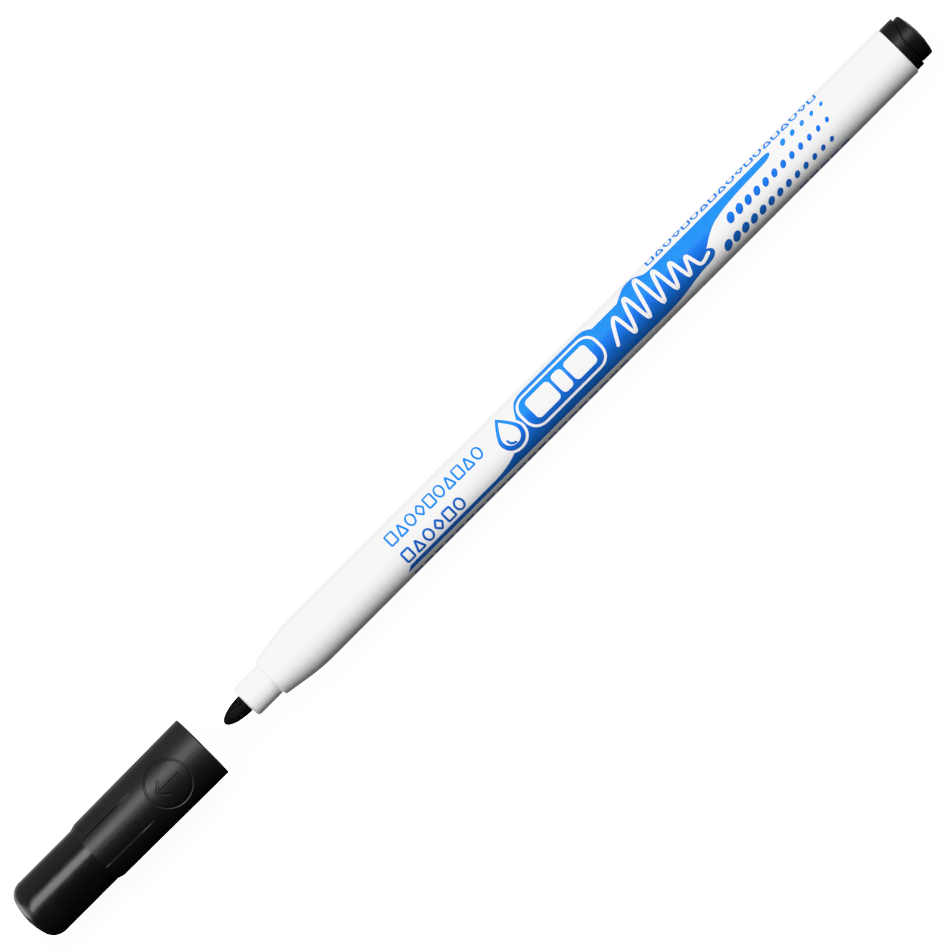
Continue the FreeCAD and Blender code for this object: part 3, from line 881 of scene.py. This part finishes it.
def band_outline():
    """The long blue swoosh: a thin stripe that swells round the badge and the squiggle and tapers away."""
    return trace(
        (31.45, BAND_FOOT),
        (32.4, STRIPE_TOP),
        (50.5, STRIPE_TOP),
        ((53.5, 3.1), (55.2, 2.3), (57.0, 1.4)),
        ((58.6, 0.3), (59.2, -1.6), (60.3, -3.3)),
        ((61.0, -4.3), (61.8, -4.7), (63.4, -4.7)),
        (74.6, -4.7),
        ((75.8, -4.7), (76.3, -4.0), (77.1, -3.3)),
        (82.4, -3.3),
        ((84.0, -4.3), (84.6, -5.4), (86.0, -5.4)),
        ((87.4, -5.4), (87.6, BAND_TOP), (89.4, BAND_TOP)),
        (113.9, BAND_TOP),
        ((115.4, BAND_TOP), (115.5, -2.35), (112.6, -2.3)),
        ((108.0, -2.1), (105.6, -2.2), (102.0, -1.4)),
        ((100.2, -0.9), (99.2, -0.1), (97.9, 0.7)),
        ((99.4, 1.3), (98.6, 2.75), (96.6, 2.75)),
        ((93.4, 2.75), (91.6, BAND_FOOT), (86.5, BAND_FOOT)),
    )


def print_band():
    print_ink("print_band", [band_outline()], 1, INK_BLUE, "blue_print")


def print_badge():
    """A plain pill-shaped white frame with three white blocks where a word would be."""
    outline = bar(BADGE_X, BADGE_AROUND, BADGE_LENGTH, BADGE_HEIGHT, BADGE_ROUND)
    shapes = [Stroke(outline, BADGE_LINE, closed=True)]
    x = BADGE_X - (sum(BLOCK_LENGTHS) + 2 * BLOCK_GAP) / 2
    for length in BLOCK_LENGTHS:
        shapes.append(bar(x + length / 2, BADGE_AROUND, length, BLOCK_HEIGHT, BLOCK_ROUND))
        x += length + BLOCK_GAP
    print_ink("print_badge", shapes, 2, INK_WHITE, "white_print")


def print_squiggle():
    """A white marker stroke that waves along the band, highest where it bulges and flatter as it ends."""
    turns = [SQUIGGLE_START]
    low = SQUIGGLE_LOW
    for crest_x, crest in SQUIGGLE_CRESTS:
        turns += [(crest_x, crest), (crest_x + SQUIGGLE_FALL, low)]
        low -= SQUIGGLE_RISE
    turns.append(SQUIGGLE_END)
    print_ink("print_squiggle", [Stroke(smooth_line(turns), SQUIGGLE_LINE)], 2, INK_WHITE, "white_print")


def drop(x, around, length, width):
    """An ink drop that points away from -Y."""
    tip, foot, half = around - length / 2, around + length / 2, width / 2
    return trace(
        (x, tip),
        ((x + half * 0.45, tip + length * 0.28), (x + half, around), (x + half, foot - half)),
        ((x + half, foot - half * 0.4), (x + half * 0.55, foot), (x, foot)),
        ((x - half * 0.55, foot), (x - half, foot - half * 0.4), (x - half, foot - half)),
        ((x - half, around), (x - half * 0.45, tip + length * 0.28), (x, tip)),
    )[:-1]


def print_drop():
    """A plain ink drop with a white border, between the rows of shapes and the badge."""
    x, around = DROP_X, DROP_AROUND
    border = drop(x, around, DROP_LENGTH + 0.9, DROP_WIDTH + 2 * DROP_BORDER)
    print_ink("print_drop_backing", [border], 2, INK_WHITE, "white_print")
    shine = smooth_line([(x - 0.95, around + 1.1), (x - 0.75, around + 1.75), (x - 0.1, around + 2.1)])
    outline = drop(x, around, DROP_LENGTH, DROP_WIDTH)
    shapes = [(outline, drop(x, around + 0.1, 4.5, 3.1)), Stroke(shine, DROP_SHINE_LINE)]
    print_ink("print_drop", shapes, 3, INK_BLUE, "blue_print")


def rounded(corners, radius=0.3, steps=4):
    """A closed line through the corners, each cut back by radius and rounded."""
    line = []
    for i, corner in enumerate(corners):
        here = Vector(corner)
        before = here + (Vector(corners[i - 1]) - here).normalized() * radius
        after = here + (Vector(corners[(i + 1) % len(corners)]) - here).normalized() * radius
        for j in range(steps + 1):
            t = j / steps
            line.append(tuple(before * (1 - t) ** 2 + here * 2 * t * (1 - t) + after * t * t))
    return line


def doodle(kind, x, around, width, height):
    """The outline of a plain shape about (x, around), width long and height tall."""
    w, h = width / 2, height / 2
    if kind == "oval":
        return ellipse(x, around, w, h, 0)
    corners = {
        "block": [(x - w, around - h), (x + w, around - h), (x + w, around + h), (x - w, around + h)],
        "triangle": [(x, around - h), (x + w, around + h), (x - w, around + h)],
        "diamond": [(x, around - h), (x + w, around), (x, around + h), (x - w, around)],
    }[kind]
    return rounded(corners, 0.15 * width)


def doodle_row(x, around, count, pitch, width, height):
    """Shapes drawn one after another from x in place of a word."""
    kinds = ("block", "triangle", "oval", "diamond", "block", "oval", "triangle")
    shapes = []
    for i in range(count):
        kind = kinds[i % len(kinds)]
        outline = doodle(kind, x + (i + 0.5) * pitch, around, width - DOODLE_LINE, height - DOODLE_LINE)
        shapes.append(Stroke(outline, DOODLE_LINE, closed=True))
    return shapes


def print_word_rows():
    """Rows of plain shapes: two rows ahead of the badge and one beside the band."""
    shapes = doodle_row(32.2, -2.1, 10, 2.03, 1.8, 2.4)
    shapes += doodle_row(32.2, 1.6, 6, 2.18, 1.85, 2.25)
    shapes += doodle_row(89.6, -5.4, 19, 1.92, 1.7, 2.1)
    print_ink("print_word_rows", shapes, 1, INK_BLUE, "blue_print")


def dashes(x, counts):
    """Rows of evenly spaced dashes from x, with as many in each row as counts says."""
    return [
        bar(x + i * DASH_PITCH + DASH_LENGTH / 2, DASH_TOP + row * DASH_ROW_PITCH, DASH_LENGTH, DASH_HEIGHT)
        for row, count in enumerate(counts)
        for i in range(count)
    ]


def print_small_print():
    """Fine dashes low on the -Y side and underneath, where such markers carry their small print."""
    shapes = dashes(32.0, (21, 18, 20, 9)) + dashes(114.5, (5, 5, 5))
    print_ink("print_small_rows", shapes, 1, INK_BLUE, "blue_print")


def print_dots():
    """Three rows of leaning dots that shrink towards the end plug."""
    rows = [
        (103.87, 1.887, 12, -0.08, -0.26, 0.92, 0.48),
        (100.70, 1.868, 13, 2.88, 2.48, 1.02, 0.50),
        (117.50, 2.045, 5, -2.74, -2.74, 0.66, 0.44),
    ]
    shapes = []
    for x, pitch, count, first, last, large, small in rows:
        for i in range(count):
            t = i / (count - 1)
            half = large + (small - large) * t
            shapes.append(ellipse(x + i * pitch, first + (last - first) * t, half, half * 0.68, 48))
    print_ink("print_dots", shapes, 1, INK_BLUE, "blue_print")


print_band()
print_badge()
print_squiggle()
print_drop()
print_word_rows()
print_small_print()
print_dots()

# ---------------------------------------------------------------- floor, light and camera


def glowing(name, strength, diffuse):
    """A white surface that glows: pale where no lamp reaches, and it still takes a soft shadow."""
    material = bpy.data.materials.new(name)
    material.use_nodes = True
    shader = material.node_tree.nodes["Principled BSDF"]
    shader.inputs["Base Color"].default_value = (diffuse, diffuse, diffuse, 1)
    shader.inputs["Roughness"].default_value = 0.9
    shader.inputs["Specular IOR Level"].default_value = 0.0
    shader.inputs["Emission Color"].default_value = (1, 1, 1, 1)
    shader.inputs["Emission Strength"].default_value = strength
    return material


def set_apart(name, bm, material):
    """A stage piece that only the camera sees, so that it casts no light or reflection on the marker."""
    mesh = bpy.data.meshes.new(name)
    bm.to_mesh(mesh)
    bm.free()
    mesh.materials.append(material)
    piece = bpy.data.objects.new(name, mesh)
    bpy.context.scene.collection.objects.link(piece)
    piece.visible_diffuse = False
    piece.visible_glossy = False
    piece.visible_transmission = False
    piece.visible_shadow = False


STAGE_R = 4.05  # metres, enough to have every view's camera inside, and near enough for each to see it
FLOOR_GLOW = 2.45
FLOOR_DIFFUSE = 0.62
BACKDROP_GLOW = 2.9


def make_stage():
    """A round floor under a pale dome, both much larger than the marker."""
    floor = bmesh.new()
    bmesh.ops.create_circle(floor, cap_ends=True, segments=64, radius=STAGE_R)
    set_apart("floor", floor, glowing("floor_pale", FLOOR_GLOW, FLOOR_DIFFUSE))
    dome = bmesh.new()
    bmesh.ops.create_uvsphere(dome, u_segments=48, v_segments=24, radius=STAGE_R)
    set_apart("backdrop", dome, glowing("backdrop_pale", BACKDROP_GLOW, 0.0))


LAMPS = (  # name, direction from the marker, metres away, length, height, radiance, seen in reflections
    ("key", (0, 0.407, 0.914), 1.0, 5.0, 0.46, 5.6, True),
    ("side_fill", (0, 0.985, -0.17), 1.2, 5.0, 2.0, 0.27, True),
    ("end_fill", (-0.95, 0.2, -0.24), 1.2, 0.45, 1.6, 1.4, True),
    ("floor_bounce", (0, -0.342, -0.94), 1.2, 5.0, 0.8, 1.6, False),
    ("floor_shine", (0, 0.342, -0.94), 1.2, 5.0, 0.8, 1.0, True),
)


def softbox(name, towards, distance, length, height, radiance, reflected):
    """A soft rectangular lamp in one direction from the marker's middle, with its length level."""
    lamp = bpy.data.lights.new(name, "AREA")
    lamp.shape = "RECTANGLE"
    lamp.size = length
    lamp.size_y = height
    lamp.energy = radiance * math.pi * length * height
    box = bpy.data.objects.new(name, lamp)
    direction = Vector(towards).normalized()
    box.location = direction * distance
    box.rotation_euler = direction.to_track_quat("Z", "Y").to_euler()
    box.visible_camera = False
    box.visible_glossy = reflected
    bpy.context.scene.collection.objects.link(box)


FLOOR_BOUNCE = 0.08
SKY_FILL = 0.03
REFLECTED = 0.004


def make_world():
    """Fill light: more of it from below, as from a pale table, and little of it in reflections."""
    world = bpy.data.worlds.new("studio")
    world.use_nodes = True
    tree = world.node_tree
    place = tree.nodes.new("ShaderNodeTexCoord")
    split = tree.nodes.new("ShaderNodeSeparateXYZ")
    height = tree.nodes.new("ShaderNodeMapRange")
    height.inputs["From Min"].default_value = -0.2
    height.inputs["From Max"].default_value = 0.3
    height.inputs["To Min"].default_value = FLOOR_BOUNCE
    height.inputs["To Max"].default_value = SKY_FILL
    path = tree.nodes.new("ShaderNodeLightPath")
    pick = tree.nodes.new("ShaderNodeMix")
    pick.inputs[3].default_value = REFLECTED
    tree.nodes["Background"].inputs["Color"].default_value = (1, 1, 1, 1)
    tree.links.new(place.outputs["Generated"], split.inputs[0])
    tree.links.new(split.outputs["Z"], height.inputs["Value"])
    tree.links.new(path.outputs["Is Glossy Ray"], pick.inputs[0])
    tree.links.new(height.outputs["Result"], pick.inputs[2])
    tree.links.new(pick.outputs[0], tree.nodes["Background"].inputs["Strength"])
    bpy.context.scene.world = world


def make_light():
    """A long key strip above on the +Y side, a broad low fill beside it, a lamp beyond the cap's end, and two
    lamps from below for the light that a pale floor throws back.
    """
    for lamp in LAMPS:
        softbox(*lamp)
    make_world()


WHITE_LEVEL = 3.0
TONE_CURVE = ((0.6, 0.6), (0.8, 0.79), (0.95, 0.885), (1.1, 0.925), (1.5, 0.938), (2.0, 0.95), (2.5, 0.97))


def soften_highlights():
    """A tone curve that keeps the lit white plastic just off pure white and lets the stage reach it."""
    scene = bpy.context.scene
    scene.view_settings.view_transform = "Standard"
    scene.view_settings.use_curve_mapping = True
    mapping = scene.view_settings.curve_mapping
    mapping.white_level = (WHITE_LEVEL,) * 3
    for x, y in TONE_CURVE:
        mapping.curves[3].points.new(x / WHITE_LEVEL, y)
    mapping.update()


CAMERA_LENS = 700.0  # long, as in the photograph, but no longer than the other views' clip distance allows
SENSOR = 36.0
FRAME_WIDTH = 143.9 * MM
LOOK_AT = (0.333 * MM, -0.144 * MM)


def make_camera():
    """Straight above, turned so that the marker runs from the lower left to the upper right."""
    data = bpy.data.cameras.new("camera")
    data.lens = CAMERA_LENS
    data.sensor_width = SENSOR
    data.clip_end = 100
    camera = bpy.data.objects.new("camera", data)
    distance = FRAME_WIDTH * CAMERA_LENS / SENSOR
    camera.location = (*LOOK_AT, AXIS_Z + distance)
    camera.rotation_euler = (0, 0, math.radians(-45))
    bpy.context.scene.collection.objects.link(camera)
    bpy.context.scene.camera = camera


make_stage()
make_light()
make_camera()
soften_highlights()
